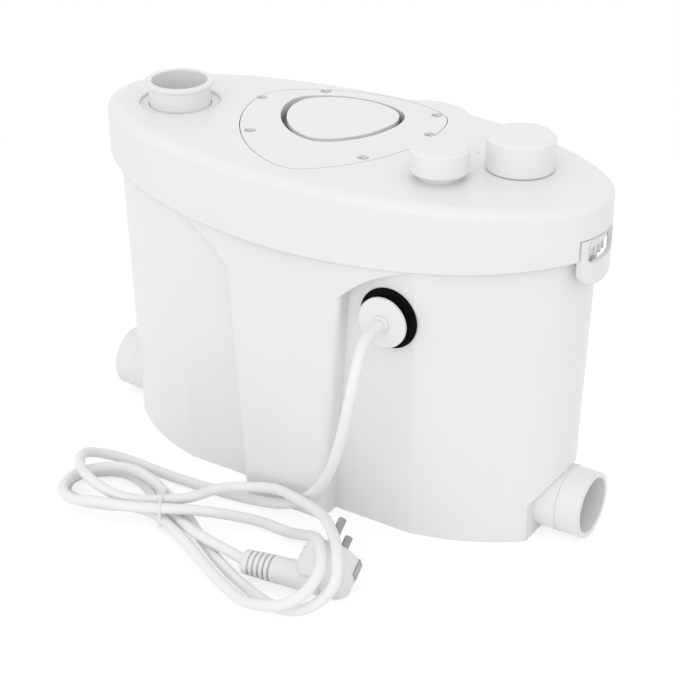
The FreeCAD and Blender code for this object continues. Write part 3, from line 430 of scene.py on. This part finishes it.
finishes = {name: make(name, look)
            for make, looks in finishLooks.items() for name, look in looks.items()}
print("finishes made:", len(finishes))

# Which finish each solid gets.
finishOf = {
    "whiteShell": ["tank", "lid", "latch_right", "latch_left"],
    "whiteCover": ["service_cover", "vent_lid"],
    "whiteCap": ["big_inlet_cap", "small_inlet_cap"],
    "whiteInsert": ["discharge_socket", "cable_gland"],
    "blackSponge": ["cable_grommet"],
    "blackRubber": ["wc_inlet_sleeve", "discharge_sleeve", "valve_flap", "inlet_flap_right",
                    "inlet_flap_left", "shaft_seal"],
    "greyRubber": ["lid_gasket", "rubber_feet"],
    "filterFoam": ["charcoal_filter"],
    "motorPaint": ["motor_housing", "motor_end_cap"],
    "stackedIron": ["stator", "rotor_core"],
    "steel": ["rotor_shaft", "lower_bearing", "upper_bearing", "cutter_blade", "cutter_nut"],
    "screwSteel": ["service_cover_screws"],
    "pumpPlastic": ["pump_casing", "impeller"],
    "pipePlastic": ["basket", "discharge_pipe", "valve_body", "riser_pipe", "pressure_tube"],
    "boxPlastic": ["connection_box", "connection_box_cover", "pressure_switch"],
    "capacitorCan": ["capacitor"],
    "terminalPlastic": ["terminal_block", "switch_plunger"],
    "plugPlastic": ["plug_body"],
    "chrome": ["plug_pins", "plug_earth_contacts"],
}
for finish, names in finishOf.items():
    for name in names:
        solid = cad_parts[name]
        solid.data.materials.clear()
        solid.data.materials.append(finishes[finish])
cordPiece.data.materials.append(finishes["cordSheath"])
tiePiece.data.materials.append(finishes["tieNylon"])
print("solids finished:", sum(len(names) for names in finishOf.values()))

# Studio: a white room, one wide soft lamp, and a floor that keeps a faint shadow.
studio = {
    "room": 0.98,
    "lampPower": 11.0,
    "lampPlace": (0.55, -2.3, 1.0),
    "lampSize": 2.4,
    "floorSize": 8,
    "floorBounce": 0.85,
    "floorShade": 0.35,
    "floorGlow": 0.72,
    "nearRadius": 0.3,  # the shadow is whole up to here and gone at the far radius
    "farRadius": 0.62,
}
white = (1, 1, 1, 1)
world = bpy.data.worlds.new("whiteRoom")
world.use_nodes = True
world.node_tree.nodes.clear()
air = Wire(world.node_tree)


def seenRays(wire):  # camera, glossy and transmission rays together
    rays = [wire.add("LightPath", None, None, kind)
            for kind in ("Is Camera Ray", "Is Glossy Ray", "Is Transmission Ray")]
    return rays[0].pair("MAXIMUM", rays[1]).pair("MAXIMUM", rays[2])


roomLight = air.add("Background", None, {"Color": white, "Strength": studio["room"]})
roomSeen = air.add("Background", None, {"Color": white, "Strength": 1.0})
roomMix = air.add("MixShader", None, {0: seenRays(air), 1: roomLight, 2: roomSeen})
roomOut = world.node_tree.nodes.new("ShaderNodeOutputWorld")
world.node_tree.links.new(roomMix.socket, roomOut.inputs["Surface"])
bpy.context.scene.world = world

lampData = bpy.data.lights.new("softLamp", "AREA")
lampData.shape = "DISK"
lampData.size = studio["lampSize"]
lampData.energy = studio["lampPower"]
lamp = bpy.data.objects.new("softLamp", lampData)
bpy.context.scene.collection.objects.link(lamp)
lamp.location = studio["lampPlace"]
lamp.rotation_euler = (-Vector(studio["lampPlace"])).to_track_quat("-Z", "Y").to_euler()

floorMesh = bpy.data.meshes.new("studioFloor")
half = studio["floorSize"] / 2
corners = [(-half, -half, 0), (half, -half, 0), (half, half, 0), (-half, half, 0)]
floorMesh.from_pydata(corners, [], [(0, 1, 2, 3)])
floorPiece = bpy.data.objects.new("studioFloor", floorMesh)
bpy.context.scene.collection.objects.link(floorPiece)
floorMaterial, ground, spot = newMaterial("studioFloor")
reach = ground.add("VectorMath", {"operation": "LENGTH"}, {0: spot}, 1)
fade = reach.between(studio["nearRadius"], studio["farRadius"])
bounce = ground.add("BsdfDiffuse", None, {"Color": (*[studio["floorBounce"]] * 3, 1)})
shadowed = ground.add("BsdfDiffuse", None, {"Color": (*[studio["floorShade"]] * 3, 1)})
glow = ground.add("Emission", None, {"Color": white, "Strength": studio["floorGlow"]})
plain = ground.add("Emission", None, {"Color": white, "Strength": 1.0})
near = ground.add("AddShader", None, {0: shadowed, 1: glow})
seen = ground.add("MixShader", None, {0: fade, 1: near, 2: plain})
output(ground.add("MixShader", None, {0: seenRays(ground), 1: bounce, 2: seen}))
floorMesh.materials.append(floorMaterial)

bpy.context.scene.view_settings.view_transform = "Standard"
print("studio ready")
